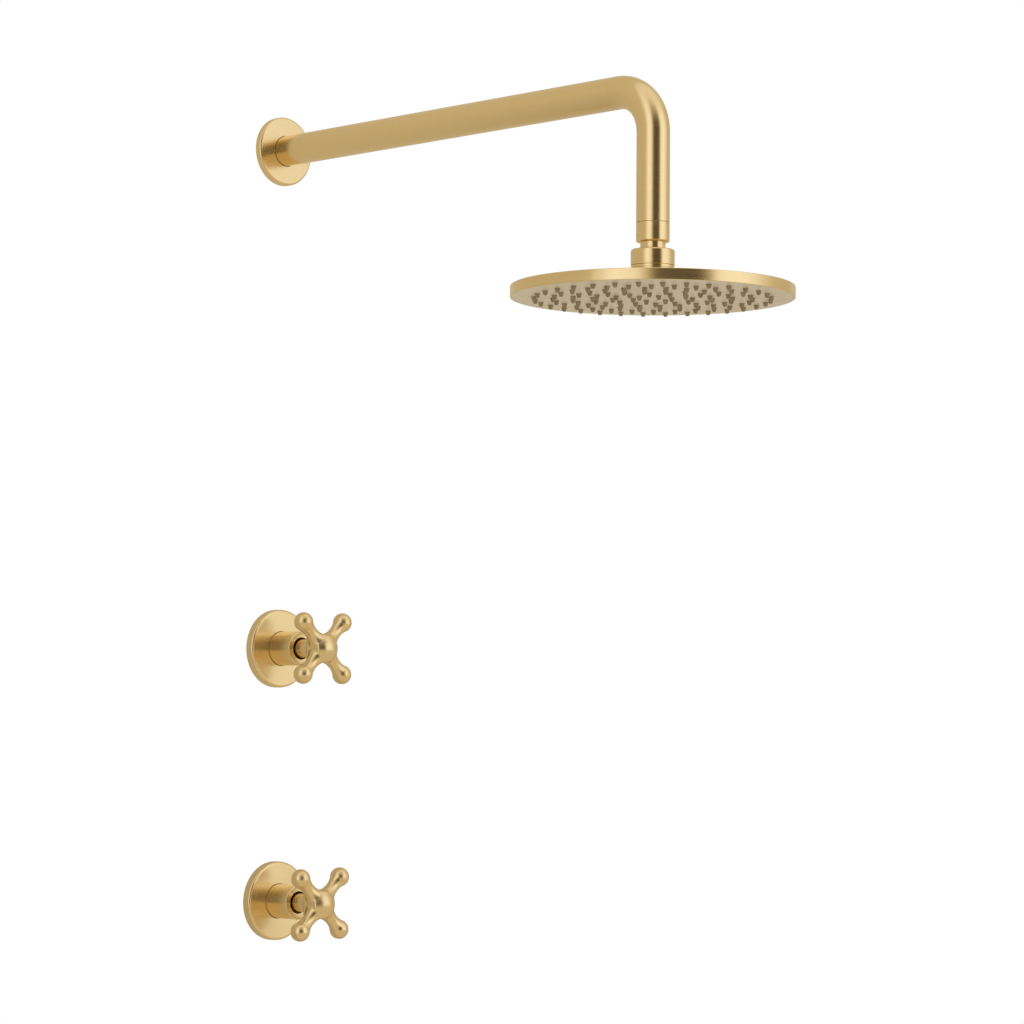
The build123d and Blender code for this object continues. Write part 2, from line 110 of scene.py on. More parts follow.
# %% Two helpers for materials
def linear(hex_colour):
    """Linear RGBA from an sRGB hex colour."""
    shares = [int(hex_colour[i : i + 2], 16) / 255 for i in (1, 3, 5)]
    light = [s / 12.92 if s <= 0.04045 else ((s + 0.055) / 1.055) ** 2.4 for s in shares]
    return (*light, 1.0)


def add(tree, kind, settings=None, links=None):
    """A new node. Settings are sockets or properties by name, links are sockets by name."""
    node = tree.nodes.new(kind)
    for name, value in (settings or {}).items():
        if isinstance(name, int) or name in node.inputs:
            node.inputs[name].default_value = value
        else:
            setattr(node, name, value)
    for name, source in (links or {}).items():
        tree.links.new(source, node.inputs[name])
    return node


def ramp(tree, source, stops, interpolation="LINEAR"):
    """A colour ramp through (position, value or hex colour) stops."""
    node = add(tree, "ShaderNodeValToRGB", links={"Fac": source})
    node.color_ramp.interpolation = interpolation
    while len(node.color_ramp.elements) < len(stops):
        node.color_ramp.elements.new(0.5)
    for element, (position, value) in zip(node.color_ramp.elements, stops):
        element.position = position
        element.color = linear(value) if isinstance(value, str) else (value, value, value, 1.0)
    return node.outputs["Color"]


def blend_hex(tree, share, first, second):
    settings = {"data_type": "RGBA", 6: linear(first), 7: linear(second)}
    return add(tree, "ShaderNodeMix", settings, {0: share}).outputs[2]


print("white is", linear("#FFFFFF")[:3])

# %% [markdown]
# ## The studio
#
# Satin metal shows the room round it. A product studio for it is a ring of soft boxes with one dark flag
# in front: the flag draws the dark stripe down every upright tube, and the boxes draw the bright bands
# beside it. Lamps could do this, but a ring painted on the world costs no noise and is easy to tune: one
# ramp round the horizon gives the boxes and the flag, and a second one by height fades it to the ceiling
# and the floor. What the camera sees directly is plain white.

# %% World
RING = (  # degrees from straight in front of the wall, towards the right, and brightness
    (-180, 0.45),
    (-137, 0.54),
    (-112, 0.53),
    (-100, 0.88),
    (-90, 0.84),
    (-82, 1.14),
    (-60, 1.0),
    (-52, 0.55),
    (-47, 0.05),
    (-10, 0.04),
    (-3, 0.35),
    (5, 1.1),
    (30, 1.12),
    (46, 0.9),
    (64, 0.62),
    (90, 0.55),
    (180, 0.45),
)
CEILING = 0.85
FLOOR_LIGHT = 0.68

world = bpy.data.worlds.new("studio")
bpy.context.scene.world = world
world.use_nodes = True
sky = world.node_tree
sky.nodes.clear()
view_ray = add(sky, "ShaderNodeTexCoord").outputs["Generated"]
axes = add(sky, "ShaderNodeSeparateXYZ", links={0: view_ray})
front = add(sky, "ShaderNodeMath", {"operation": "MULTIPLY", 1: -1.0}, {0: axes.outputs["Y"]})
around = add(sky, "ShaderNodeMath", {"operation": "ARCTAN2"}, {0: axes.outputs["X"], 1: front.outputs[0]})
share = add(
    sky,
    "ShaderNodeMapRange",
    {"From Min": -math.pi, "From Max": math.pi},
    {"Value": around.outputs[0]},
)
ring = ramp(sky, share.outputs[0], [((a + 180) / 360, level) for a, level in RING])
height = add(sky, "ShaderNodeMapRange", {"From Min": -1.0, "From Max": 1.0}, {"Value": axes.outputs["Z"]})
ends = ramp(sky, height.outputs[0], [(0.5, FLOOR_LIGHT), (0.501, CEILING)], "CONSTANT")
how_far = ramp(sky, height.outputs[0], [(0.04, 1.0), (0.3, 0.12), (0.5, 0.0), (0.72, 0.12), (0.96, 1.0)])
studio = add(sky, "ShaderNodeMix", {"data_type": "RGBA"}, {"Factor": how_far, 6: ring, 7: ends})
warmth = ramp(sky, studio.outputs[2], [(0.0, "#FFDEB3"), (0.6, "#FFF1D0"), (1.0, "#FFFFFF")])
tint = {"data_type": "RGBA", "blend_type": "MULTIPLY", "Factor": 1.0}
tinted = add(sky, "ShaderNodeMix", tint, {6: studio.outputs[2], 7: warmth})
plain = add(sky, "ShaderNodeRGB")
plain.outputs[0].default_value = (1.0, 1.0, 1.0, 1.0)
seen = add(sky, "ShaderNodeLightPath").outputs["Is Camera Ray"]
choices = {"Factor": seen, 6: tinted.outputs[2], 7: plain.outputs[0]}
both = add(sky, "ShaderNodeMix", {"data_type": "RGBA"}, choices)
backdrop_light = add(sky, "ShaderNodeBackground", {"Strength": 1.0}, {"Color": both.outputs[2]})
add(sky, "ShaderNodeOutputWorld", links={"Surface": backdrop_light.outputs[0]})
print("ring of", len(RING), "levels")

# %% [markdown]
# ## Wall and floor
#
# The tiles stand in for every plain pale wall. The plane glows softly instead of being lit, so nothing
# casts a shadow on it, and it sends the metal a calmer grey than the white that the camera sees. It is
# solid from the room and clear from behind, so that the parts in the wall can be looked at too. The floor
# is the same, far below.


# %% Backdrop
def glowing(name, direct, low, high, one_sided):
    material = bpy.data.materials.new(name)
    material.use_nodes = True
    tree = material.node_tree
    tree.nodes.clear()
    place = add(tree, "ShaderNodeTexCoord").outputs["Object"]
    up = add(tree, "ShaderNodeSeparateXYZ", links={0: place}).outputs["Z"]
    heights = {"From Min": -0.7, "From Max": 0.15, "To Min": low, "To Max": high}
    bounced = add(tree, "ShaderNodeMapRange", heights, {"Value": up}).outputs[0]
    seen = add(tree, "ShaderNodeLightPath").outputs["Is Camera Ray"]
    level = add(tree, "ShaderNodeMix", {"data_type": "FLOAT", 3: direct}, {0: seen, 2: bounced})
    tone = blend_hex(tree, seen, "#FFF1D2", "#FFFFFF")
    glow = add(tree, "ShaderNodeEmission", links={"Color": tone, "Strength": level.outputs[0]})
    shader = glow.outputs[0]
    if one_sided:
        behind = add(tree, "ShaderNodeNewGeometry").outputs["Backfacing"]
        clear = add(tree, "ShaderNodeBsdfTransparent").outputs[0]
        shader = add(tree, "ShaderNodeMixShader", links={0: behind, 1: shader, 2: clear}).outputs[0]
    add(tree, "ShaderNodeOutputMaterial", links={"Surface": shader})
    return material


def staged_plane(name, material, width, height, place, tilt):
    bm = bmesh.new()
    bmesh.ops.create_grid(bm, x_segments=1, y_segments=1, size=0.5)
    bmesh.ops.scale(bm, vec=(width, height, 1), verts=bm.verts)
    bmesh.ops.rotate(bm, cent=(0, 0, 0), matrix=Matrix.Rotation(math.radians(tilt), 3, "X"), verts=bm.verts)
    bmesh.ops.translate(bm, vec=place, verts=bm.verts)
    mesh = bpy.data.meshes.new(name)
    bm.to_mesh(mesh)
    bm.free()
    mesh.materials.append(material)
    plane = bpy.data.objects.new(name, mesh)
    bpy.context.scene.collection.objects.link(plane)
    return plane


WALL_GLOW = glowing("painted_wall", 1.0, 0.46, 0.62, True)
FLOOR_GLOW = glowing("pale_floor", 0.93, 0.64, 0.64, False)
staged_plane("wall", WALL_GLOW, 7.0, 4.4, (0, out(0) * MM, 0.8), 90)
staged_plane("floor", FLOOR_GLOW, 9.0, 9.0, (0, -1.5, -1.4), 0)
print("wall and floor staged")

# %% [markdown]
# ## Brushed brass
#
# Brass is copper with about a third of zinc. Polished, it would be a yellow mirror. Here every turned
# piece has been held against a fine abrasive pad while it spun, and then lacquered. The pad leaves rings
# round the axis, a few tenths of a millimetre apart. They blur what the metal reflects across the rings
# and hardly along them, which is what the anisotropic part of the shader does: its blur is turned a
# quarter so that it lies across the rings. A noise on (radius, height) draws the rings themselves, and
# the direction round the axis goes in twice, as sine and cosine, so that there is no seam. The real rings
# are too fine to see from this far away, so they are drawn about twice as coarse. Roughness and a very
# shallow bump follow them.

# %% Turned brass finish
BRASS_LIGHT = "#F5DFAE"
BRASS_DEEP = "#ECCF98"
RING_SPACING = 0.5 * MM
PAD_ROUGHNESS = (0.21, 0.28)


def new_material(name):
    material = bpy.data.materials.new(name)
    material.use_nodes = True
    material.node_tree.nodes.clear()
    return material, material.node_tree


def between(tree, source, low, high, from_low=0.3, from_high=0.7):
    """A noise value spread over a range."""
    settings = {"From Min": from_low, "From Max": from_high, "To Min": low, "To Max": high}
    return add(tree, "ShaderNodeMapRange", settings, {"Value": source}).outputs[0]


def rings_about(tree, along, centre, spacing):
    """Noise that changes across the rings round an axis, and only slowly along them."""
    place = add(tree, "ShaderNodeTexCoord").outputs["Object"]
    shift = add(tree, "ShaderNodeMapping", {"Location": tuple(-c * MM for c in centre)}, {"Vector": place})
    flat = add(tree, "ShaderNodeVectorMath", {"operation": "MULTIPLY"}, {0: shift.outputs[0]})
    flat.inputs[1].default_value = (1, 0, 1) if along == "Y" else (1, 1, 0)
    radius = add(tree, "ShaderNodeVectorMath", {"operation": "LENGTH"}, {0: flat.outputs[0]}).outputs["Value"]
    unit = add(tree, "ShaderNodeVectorMath", {"operation": "NORMALIZE"}, {0: flat.outputs[0]})
    turn = add(tree, "ShaderNodeSeparateXYZ", links={0: unit.outputs[0]})
    axial = add(tree, "ShaderNodeSeparateXYZ", links={0: shift.outputs[0]}).outputs[along]
    across = add(tree, "ShaderNodeMath", {"operation": "DIVIDE", 1: spacing}, {0: radius})
    down = add(tree, "ShaderNodeMath", {"operation": "DIVIDE", 1: spacing}, {0: axial})
    vector = add(
        tree,
        "ShaderNodeCombineXYZ",
        links={"X": across.outputs[0], "Y": down.outputs[0], "Z": turn.outputs["X"]},
    )
    other = turn.outputs["Z" if along == "Y" else "Y"]
    settings = {"noise_dimensions": "4D", "Scale": 1.0, "Detail": 3.0, "Roughness": 0.6}
    return add(tree, "ShaderNodeTexNoise", settings, {"Vector": vector.outputs[0], "W": other}).outputs[0]


def shine(tree, colour, roughness, height, bump_mm, settings, tangent=None):
    """The metal's shader and its output, with a shallow bump."""
    dent = {"Strength": 0.35, "Distance": bump_mm * MM}
    bump = add(tree, "ShaderNodeBump", dent, {"Height": height}).outputs[0]
    links = {"Base Color": colour, "Roughness": roughness, "Normal": bump}
    if tangent is not None:
        links["Tangent"] = tangent
    shader = add(tree, "ShaderNodeBsdfPrincipled", settings, links)
    add(tree, "ShaderNodeOutputMaterial", links={"Surface": shader.outputs[0]})


LACQUERED = {"Metallic": 1.0, "Coat Weight": 0.3, "Coat Roughness": 0.16}


def turned_brass_finish(name, along, centre):
    material, tree = new_material(name)
    rings = rings_about(tree, along, centre, RING_SPACING)
    colour = blend_hex(tree, between(tree, rings, 0.25, 0.85), BRASS_DEEP, BRASS_LIGHT)
    roughness = between(tree, rings, *PAD_ROUGHNESS)
    tangent = add(tree, "ShaderNodeTangent", {"direction_type": "RADIAL", "axis": along}).outputs[0]
    settings = {**LACQUERED, "Anisotropic": 0.6, "Anisotropic Rotation": 0.25}
    shine(tree, colour, roughness, rings, 0.007, settings, tangent)
    return material


BRASS_AT = {
    "arm": turned_brass_finish("brushed_brass_arm_flange", "Y", (0, 0, ARM_Z)),
    "volume": turned_brass_finish("brushed_brass_volume_trim", "Y", (0, 0, VOLUME_Z)),
    "mixer": turned_brass_finish("brushed_brass_mixer_trim", "Y", (0, 0, MIXER_Z)),
    "head": turned_brass_finish("brushed_brass_rain_head", "Z", (0, DROP_Y, 0)),
}
print("rings drawn", RING_SPACING / MM, "mm apart in", len(BRASS_AT), "finishes")

# %% [markdown]
# ## Satin brass for the tube and the handles
#
# The bent tube was polished on a belt, and the cast cross handles were blasted with fine glass beads and
# then brushed by hand. Both read as a soft sheen with no clear direction. The tube's marks run round it,
# so they follow its own UV map, where V is the way along the tube. The handles get a fine grain from a
# plain noise and slightly uneven roughness, because a hand never presses evenly.


# %% Tube and handle finishes
def belt_polished_brass(name):
    material, tree = new_material(name)
    strip = add(tree, "ShaderNodeUVMap", {"uv_map": "along_tube"}).outputs[0]
    scale = (0.02 / MM, 1.0 / RING_SPACING, 1.0)
    stretch = add(tree, "ShaderNodeMapping", {"Scale": scale}, {"Vector": strip})
    noise = add(tree, "ShaderNodeTexNoise", {"Scale": 1.0, "Detail": 3.0}, {"Vector": stretch.outputs[0]})
    marks = noise.outputs[0]
    colour = blend_hex(tree, between(tree, marks, 0.4, 0.7), BRASS_DEEP, BRASS_LIGHT)
    shine(tree, colour, between(tree, marks, 0.21, 0.25), marks, 0.004, LACQUERED)
    return material


def hand_brushed_brass(name):
    material, tree = new_material(name)
    place = add(tree, "ShaderNodeTexCoord").outputs["Object"]
    fine, broad = {"Scale": 1 / (0.7 * MM), "Detail": 2.0}, {"Scale": 1 / (12 * MM), "Detail": 1.0}
    grain = add(tree, "ShaderNodeTexNoise", fine, {"Vector": place}).outputs[0]
    press = add(tree, "ShaderNodeTexNoise", broad, {"Vector": place}).outputs[0]
    colour = blend_hex(tree, between(tree, grain, 0.0, 1.0), BRASS_DEEP, BRASS_LIGHT)
    shine(tree, colour, between(tree, press, 0.25, 0.32), grain, 0.012, LACQUERED)
    return material


TUBE_BRASS = belt_polished_brass("brushed_brass_tube")
HANDLE_BRASS = hand_brushed_brass("brushed_brass_handles")
print("finishes:", TUBE_BRASS.name, HANDLE_BRASS.name)

# %% [markdown]
# ## What is in the wall
#
# Behind the tiles the metals are plain. Valve bodies are sand cast, which leaves a grain of about half a
# millimetre and a dull, darker skin. Nuts, cartridges and spindles are turned and left bright. Copper
# pipe is drawn and soon goes brown in patches. Seals are nitrile rubber, gaskets closed-cell foam, the
# valve's discs lapped alumina, the shuttle and the slip rings acetal, and the small springs, strainers
# and screws stainless steel. One recipe serves them all: a fine grain for bump and roughness, and a slow
# noise for the tone.


# %% In-wall materials
def plain_material(name, deep, light, grain_mm, patch_mm, roughness, bump_mm, settings):
    material, tree = new_material(name)
    place = add(tree, "ShaderNodeTexCoord").outputs["Object"]
    grain = add(tree, "ShaderNodeTexNoise", {"Scale": 1 / (grain_mm * MM), "Detail": 3.0}, {"Vector": place})
    patch = add(tree, "ShaderNodeTexNoise", {"Scale": 1 / (patch_mm * MM), "Detail": 2.0}, {"Vector": place})
    colour = blend_hex(tree, between(tree, patch.outputs[0], 0.0, 1.0), deep, light)
    rough = between(tree, grain.outputs[0], *roughness)
    shine(tree, colour, rough, grain.outputs[0], bump_mm, settings)
    return material


METAL = {"Metallic": 1.0}
IN_WALL = {
    "cast_brass": plain_material(
        "sand_cast_brass", "#9C7B45", "#C6A263", 0.6, 14, (0.42, 0.6), 0.12, METAL
    ),
    "turned_brass": plain_material("turned_brass", "#D9B568", "#EBCB85", 0.4, 9, (0.24, 0.36), 0.02, METAL),
    "copper": plain_material("drawn_copper", "#8E5232", "#D08F68", 0.5, 11, (0.26, 0.42), 0.02, METAL),
    "nitrile_rubber": plain_material(
        "nitrile_rubber", "#17171A", "#232326", 0.4, 6, (0.5, 0.66), 0.03, {"Specular IOR Level": 0.35}
    ),
    "foam_rubber": plain_material(
        "closed_cell_foam", "#3A3A3C", "#545456", 0.9, 7, (0.85, 0.97), 0.3, {"Specular IOR Level": 0.2}
    ),
    "alumina_ceramic": plain_material(
        "lapped_alumina", "#E6E0D2", "#F5F1E8", 0.3, 8, (0.12, 0.2), 0.005, {"IOR": 1.76}
    ),
    "acetal": plain_material(
        "moulded_acetal", "#E4E3DC", "#F2F1EC", 0.5, 10, (0.38, 0.5), 0.02, {"IOR": 1.48}
    ),
    "stainless_steel": plain_material(
        "stainless_steel", "#B9B9B6", "#D6D6D2", 0.3, 6, (0.22, 0.34), 0.01, METAL
    ),
}
print(len(IN_WALL), "plain materials")

# %% [markdown]
# ## The spray face
#
# The face plate is thin sheet in a pale champagne coat with a fine satin texture, seen at a very low
# angle, and the nozzles are soft silicone in a grey brown, moulded in one mat behind it and pushed
# through its holes. Silicone is a little translucent and always slightly dull, so it gets some subsurface
# light and a high roughness.

# %% Plate and silicone
SPRAY_PLATE = plain_material(
    "champagne_coated_sheet",
    "#F0E7D8",
    "#F8F1E6",
    0.5,
    25,
    (0.45, 0.55),
    0.012,
    {"Metallic": 0.6, "Coat Weight": 0.2},
)
SILICONE = plain_material(
    "grey_brown_silicone", "#94856F", "#A99A85", 0.4, 5, (0.5, 0.62), 0.01, {"Subsurface Weight": 0.1}
)
silicone_inputs = SILICONE.node_tree.nodes["Principled BSDF"].inputs
silicone_inputs["Subsurface Radius"].default_value = (0.001, 0.0007, 0.0005)
print("spray face:", SPRAY_PLATE.name, SILICONE.name)

# %% [markdown]
# ## Turning pieces on a lathe
#
# Nearly everything that is seen from the room is turned, so the first tool is a lathe. The outline is a
# handful of points, (radius, place along the axis), with an optional third number: how far back the
# corner is rounded. A vertex bevel rounds the corners while the outline is still a wire, and one full
# spin makes the solid. The edges stay soft where the light needs them, and a weighted-normal modifier
# keeps the big flats flat.


# %% Lathe
def lathe(bm, points, along, centre, steps=96):
    """Spins a closed outline of (radius, along[, round]) points, in mm, into a ring or a solid."""
    x, y, z = centre
    corners = []
    for radius, place, *_ in points:
        spot = (x + radius, place, z) if along == "Y" else (x + radius, y, place)
        corners.append(bm.verts.new(Vector(spot) * MM))
    finished = set(bm.verts) - set(corners)
    for index, corner in enumerate(corners):
        bm.edges.new((corners[index - 1], corner))
    for corner, point in zip(corners, points):
        if len(point) > 2:
            bmesh.ops.bevel(
                bm,
                geom=[corner],
                offset=point[2] * MM,
                offset_type="OFFSET",
                segments=5,
                profile=0.5,
                affect="VERTICES",
                material=-1,
            )
    outline = [vert for vert in bm.verts if vert not in finished and not vert.link_faces]
    edges = list({edge for vert in outline for edge in vert.link_edges})
    axis = (0, 1, 0) if along == "Y" else (0, 0, 1)
    bmesh.ops.spin(
        bm,
        geom=outline + edges,
        cent=Vector((x, y, z)) * MM,
        axis=axis,
        dvec=(0, 0, 0),
        angle=2 * math.pi,
        steps=steps,
        use_merge=True,
    )


def finish_piece(name, bm, material, body, nodes, sharp=35, flat_flats=True):
    """Welds the mesh, gives it its material, hides the CAD nodes that it stands for and hangs it on its body,
    if it has one.
    """
    bmesh.ops.remove_doubles(bm, verts=bm.verts, dist=0.002 * MM)
    loose = [edge for edge in bm.edges if not edge.link_faces]
    bmesh.ops.delete(bm, geom=loose, context="EDGES")
    bmesh.ops.recalc_face_normals(bm, faces=bm.faces)
    open_edges = sum(1 for edge in bm.edges if not edge.is_manifold)
    mesh = bpy.data.meshes.new(name)
    bm.to_mesh(mesh)
    bm.free()
    mesh.shade_smooth()
    mesh.materials.append(material)
    piece = bpy.data.objects.new(name, mesh)
    bpy.context.scene.collection.objects.link(piece)
    mesh.set_sharp_from_angle(angle=math.radians(sharp))
    if flat_flats:
        piece.modifiers.new("flat_flats", "WEIGHTED_NORMAL").keep_sharp = True
    if body:
        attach(piece, body)
    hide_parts(*nodes)
    print(f"{name}: {len(mesh.polygons)} faces, {open_edges} open edges")
    return piece


# %% [markdown]
# ## Flanges
#
# A flange hides the hole in the tiles. It is turned from solid bar: a flat face, a generous round at the
# edge, and a hollow back with a lip that sits on the tiles and a hub that holds an O-ring against the
# tube. The round is what draws the bright line round the face.


# %% Three flanges
def flange(name, node, radius, thick, bore, z, material):
    hub, roof, rim = bore + 3, thick - 2, radius - 2.5
    outline = [
        (bore, out(0.6)),
        (hub, out(0.6), 0.3),
        (hub, out(roof)),
        (rim, out(roof), 0.8),
        (rim, out(0)),
        (radius, out(0), 0.3),
        (radius, out(thick), 2.0),
        (bore, out(thick), 0.25),
        (bore, out(3.6)),
        (bore + 1.2, out(3.6)),
        (bore + 1.2, out(1.6)),
        (bore, out(1.6)),
    ]
    bm = bmesh.new()
    lathe(bm, outline, "Y", (0, 0, z), 128)
    return finish_piece(name, bm, material, "wall_set", [node])


flange("arm_flange_turned", "arm_wall_flange", 27.5, 6.0, 12.25, ARM_Z, BRASS_AT["arm"])
flange("volume_flange_turned", "volume_flange", 31.0, 7.5, 13.75, VOLUME_Z, BRASS_AT["volume"])
flange("mixer_flange_turned", "mixer_flange", 31.0, 7.5, 13.75, MIXER_Z, BRASS_AT["mixer"])

# %% [markdown]
# ## Sleeves
#
# Each valve's sleeve is an open tube that screws on the cartridge, with a lip turned in at the front. The
# front face has a shallow step where the tool changed, and a dark gap is left round the handle's shank.


# %% Two sleeves
def valve_sleeve(name, z, material):
    front = 31.5
    outline = [
        (11.5, out(-14)),
        (13.5, out(-14), 0.3),
        (13.5, out(front), 0.9),
        (11.0, out(front), 0.15),
        (11.0, out(front - 0.5), 0.1),
        (8.7, out(front - 0.5), 0.35),
        (8.7, out(front - 2.5), 0.2),
        (11.5, out(front - 2.5)),
    ]
    bm = bmesh.new()
    lathe(bm, outline, "Y", (0, 0, z))
    return finish_piece(f"{name}_turned", bm, material, "wall_set", [name])


valve_sleeve("volume_sleeve", VOLUME_Z, BRASS_AT["volume"])
valve_sleeve("mixer_sleeve", MIXER_Z, BRASS_AT["mixer"])

# %% [markdown]
# ## The arm
#
# The arm is one length of tube, 24 mm outside, bent once. A curve with a round bevel would draw it, but
# pushing a circle along the same path shows how the tube is really made: straight out, round the bend,
# and straight down. The wall gets its thickness last, and the UV map runs along the centre line, so that
# the polishing marks go round the bend with the metal.

# %% Bent tube
TUBE_R, TUBE_WALL, BEND_R = 12.0, 1.52, 33.0
STRAIGHT_END_Y = DROP_Y + BEND_R
TUBE_START_Y, TUBE_END_Z = out(-16), -97.9
BEND_STEPS, TUBE_SIDES = 28, 72

bm = bmesh.new()
bmesh.ops.create_circle(bm, cap_ends=False, segments=TUBE_SIDES, radius=TUBE_R * MM)
bmesh.ops.rotate(bm, cent=(0, 0, 0), matrix=Matrix.Rotation(math.radians(90), 3, "X"), verts=bm.verts)
bmesh.ops.translate(bm, vec=(0, TUBE_START_Y * MM, 0), verts=bm.verts)


def pull(bm, edges, vector_mm, times):
    """Extrudes an open ring of edges in equal steps and returns the last ring."""
    for _ in range(times):
        grown = bmesh.ops.extrude_edge_only(bm, edges=edges)["geom"]
        verts = [g for g in grown if isinstance(g, bmesh.types.BMVert)]
        bmesh.ops.translate(bm, vec=Vector(vector_mm) * MM / times, verts=verts)
        edges = [g for g in grown if isinstance(g, bmesh.types.BMEdge)]
    return edges


ring = pull(bm, bm.edges[:], (0, STRAIGHT_END_Y - TUBE_START_Y, 0), 12)
ring_verts = list({v for edge in ring for v in edge.verts})
bend = bmesh.ops.spin(
    bm,
    geom=ring_verts + ring,
    cent=(0, STRAIGHT_END_Y * MM, -BEND_R * MM),
    axis=(1, 0, 0),
    dvec=(0, 0, 0),
    angle=math.pi / 2,
    steps=BEND_STEPS,
    use_merge=False,
)
ring = [g for g in bend["geom_last"] if isinstance(g, bmesh.types.BMEdge)]
pull(bm, ring, (0, 0, TUBE_END_Z + BEND_R), 4)
bmesh.ops.remove_doubles(bm, verts=bm.verts, dist=0.002 * MM)
print("tube runs to", [round(c / MM, 1) for c in min((v.co for v in bm.verts), key=lambda c: c.z)])

# %% [markdown]
# The tube's skin is turned to face outward and given its wall. Each face then gets its place on the
# unrolled tube: how far round, and how far along the centre line. A face that crosses the seam is moved
# on by a whole turn, so that its texture doesn't run backwards.

# %% Tube wall and its UV map
bmesh.ops.recalc_face_normals(bm, faces=bm.faces)
outward = max(bm.faces, key=lambda f: f.calc_center_median().z)
if outward.normal.z < 0:
    bmesh.ops.reverse_faces(bm, faces=bm.faces)
bmesh.ops.solidify(bm, geom=bm.faces[:], thickness=TUBE_WALL * MM)

uv = bm.loops.layers.uv.new("along_tube")


def tube_uv(place):
    """Distance round the tube and distance along its centre line, in metres."""
    ahead = STRAIGHT_END_Y * MM - place.y
    below = -BEND_R * MM - place.z
    if ahead <= 0:
        return math.atan2(place.x, place.z) * TUBE_R * MM, ahead
    lean = math.atan2(ahead, -below) if below < 0 else math.pi / 2
    inward = Vector((place.x, math.hypot(ahead, min(below, 0)) - BEND_R * MM))
    return math.atan2(inward.x, inward.y) * TUBE_R * MM, lean * BEND_R * MM + max(below, 0)


whole_turn = 2 * math.pi * TUBE_R * MM
for face in bm.faces:
    spots = [tube_uv(loop.vert.co) for loop in face.loops]
    highest = max(spot[0] for spot in spots)
    for loop, (round_it, along_it) in zip(face.loops, spots):
        wraps = highest - round_it > whole_turn / 2
        loop[uv].uv = (round_it + (whole_turn if wraps else 0), along_it)
finish_piece("arm_tube_bent", bm, TUBE_BRASS, "wall_set", ["arm_tube"])

# %% [markdown]
# ## Ball joint
#
# The head hangs on a ball, so that it can be levelled. What shows is the connector that screws on the
# tube, with two small spanner flats, a short neck under it, and the plain collar nut that holds the ball
# in the head.

# %% Connector
FLAT_AT, FLAT_TOP = 11.3, -107.6  # from the axis, and where the spanner flats begin
BALL_R, BALL_Z = 12, -127
FLAT_TURN = Matrix.Rotation(math.radians(-17), 3, "Z")
AXIS_POINT = (0, DROP_Y * MM, 0)

bm = bmesh.new()
lathe(
    bm,
    [
        (5, -98.15),
        (12, -98.15, 0.3),
        (12, FLAT_TOP + 0.1),
        (12, FLAT_TOP),
        (12, -112, 1.2),
        (9.0, -112, 0.3),
        (9.0, -116.6, 0.3),
        (7.5, -117.6, 0.3),
        (7.5, BALL_Z),
        (5, BALL_Z),
    ],
    "Z",
    (0, DROP_Y, 0),
)
bmesh.ops.rotate(bm, cent=AXIS_POINT, matrix=FLAT_TURN.inverted(), verts=bm.verts)
for vert in bm.verts:
    if vert.co.z < (FLAT_TOP + 0.05) * MM and abs(vert.co.x) > FLAT_AT * MM:
        vert.co.x = math.copysign(FLAT_AT * MM, vert.co.x)
bmesh.ops.rotate(bm, cent=AXIS_POINT, matrix=FLAT_TURN, verts=bm.verts)
ball = bmesh.ops.create_uvsphere(bm, u_segments=48, v_segments=24, radius=BALL_R * MM)["verts"]
bmesh.ops.translate(bm, vec=(0, DROP_Y * MM, BALL_Z * MM), verts=ball)
finish_piece(
    "ball_connector_turned", bm, BRASS_AT["head"], "wall_set", ["swivel_ball_connector"]
)

# %% [markdown]
# The nut reaches over the ball, and a thin ring sits under it with a fine gap between the two. Both tilt
# and spin with the head.

# %% Collar nut and ring
bm = bmesh.new()
lathe(
    bm,
    [
        (11.5, -117.3, 0.2),
        (15.7, -117.3, 1.5),
        (15.7, -128.85, 0.2),
        (14.4, -128.85),
        (14.4, -123.5),
        (12.52, -123.5),
        (11.5, -120.94),
    ],
    "Z",
    (0, DROP_Y, 0),
)
finish_piece("collar_nut_turned", bm, BRASS_AT["head"], "rain_head", ["collar_nut"])

bm = bmesh.new()
lathe(
    bm,
    [(14.4, -129.0), (15.4, -129.0, 0.2), (15.4, -131.0, 0.15), (14.4, -131.0)],
    "Z",
    (0, DROP_Y, 0),
)
finish_piece("collar_ring_turned", bm, BRASS_AT["head"], "rain_head", ["collar_ring"])

# %% [markdown]
# ## Rain head
#
# The head is a shallow pan, 203 mm across and only 8 mm thick, with a boss on top. Its rim mirrors the
# whole ring of the studio along its length. A thin line is left where the face plate sits in the rim.

# %% Head shell
HEAD_R, RIM_WALL, PLATE_FACE = 101.6, 1.0, -152.0

bm = bmesh.new()
lathe(
    bm,
    [
        (6, -145.5),
        (HEAD_R - RIM_WALL, -145.5),
        (HEAD_R - RIM_WALL, PLATE_FACE, 0.15),
        (HEAD_R, PLATE_FACE, 0.3),
        (HEAD_R, -144, 0.6),
        (15.2, -144, 0.4),
        (15.2, -131.0, 0.2),
        (14.4, -131.0),
        (14.4, -123.5),
        (13, -123.5),
        (13, -138.6),
        (6, -138.6),
    ],
    "Z",
    (0, DROP_Y, 0),
    192,
)
finish_piece("head_shell_spun", bm, BRASS_AT["head"], "rain_head", ["head_shell"])

# %% [markdown]
# ## Nozzles
#
# 120 nozzles stand through the plate in six rings, each ring turned a little on from the last, so that no
# two jets fall in line. There are many of them, so each has only a few faces: a soft cone with a rounded
# tip and a dimple for its bore.

# %% Nozzle mat
NOZZLE_RINGS = ((14.0, 6), (28.5, 12), (42.5, 18), (57.0, 24), (71.0, 28), (84.5, 32))
RING_TWIST = 7.0
MAT_TOP, MAT_R = -149.6, HEAD_R - 3

